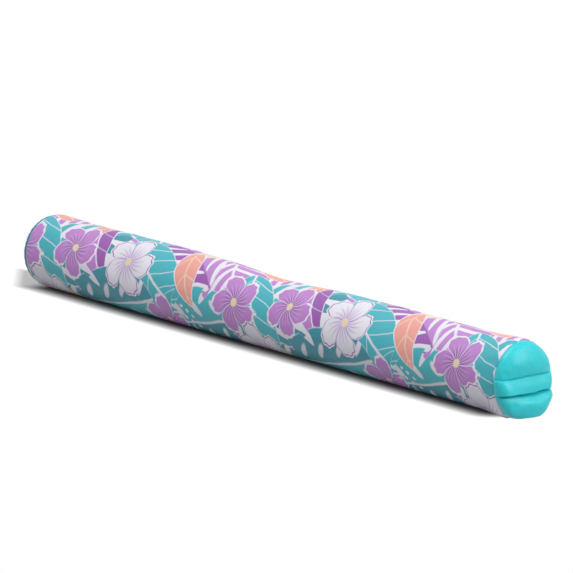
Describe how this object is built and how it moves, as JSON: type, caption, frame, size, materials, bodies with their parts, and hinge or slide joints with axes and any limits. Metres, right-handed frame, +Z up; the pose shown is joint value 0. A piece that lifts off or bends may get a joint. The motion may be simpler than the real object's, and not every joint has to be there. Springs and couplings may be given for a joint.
{
  "type": "pool noodle",
  "caption": "Jumbo fabric-covered pool noodle filled with foam beads, with puffed end caps and a filling zip under a flap.",
  "frame": {"origin": "middle of the flat underside that the noodle lies on, midway between its two round seams", "axes": "+X along the noodle towards the zipped cap, +Z up"},
  "size_m": [1.4193, 0.142, 0.14],
  "materials": {
    "printed_knit": "smooth polyester knit with an all-over print",
    "turquoise_knit": "smooth plain polyester knit",
    "zip_tape": "woven tape",
    "nylon_coil": "drawn nylon",
    "slider_metal": "nickel plated",
    "spring_steel": "spring temper",
    "liner_cloth": "plain woven",
    "foam_beads": "loose foam beads"
  },
  "bodies": {
    "noodle": {"sleeve": "printed_knit", "near_cap_upper_panel": "turquoise_knit", "near_cap_lower_panel": "turquoise_knit", "far_cap_panel": "turquoise_knit", "zip_tape_upper": "zip_tape", "zip_tape_lower": "zip_tape", "zip_coil_upper": "nylon_coil", "zip_coil_lower": "nylon_coil", "zip_top_stop_upper": "slider_metal", "zip_top_stop_lower": "slider_metal", "zip_bottom_stop": "slider_metal", "liner_tube": "liner_cloth", "liner_near_disc": "liner_cloth", "liner_far_disc": "liner_cloth", "bead_fill": "foam_beads"},
    "zip_slider": {"slider_body": "slider_metal", "slider_bridge": "slider_metal", "slider_lock_spring": "spring_steel"},
    "flap": {"zip_flap": "turquoise_knit"}
  },
  "joints": [
    {"name": "zip_run", "type": "slide", "parent": "noodle", "child": "zip_slider", "axis": [0, 1, 0], "range_m": [0, 0.0807], "deforming": ["zip_coil_upper", "zip_coil_lower"]},
    {"name": "flap_swing", "type": "hinge", "parent": "noodle", "child": "flap", "pos_m": [0.70125, 0, 0.076], "axis": [0, -1, 0], "range_deg": [0, 100]}
  ]
}
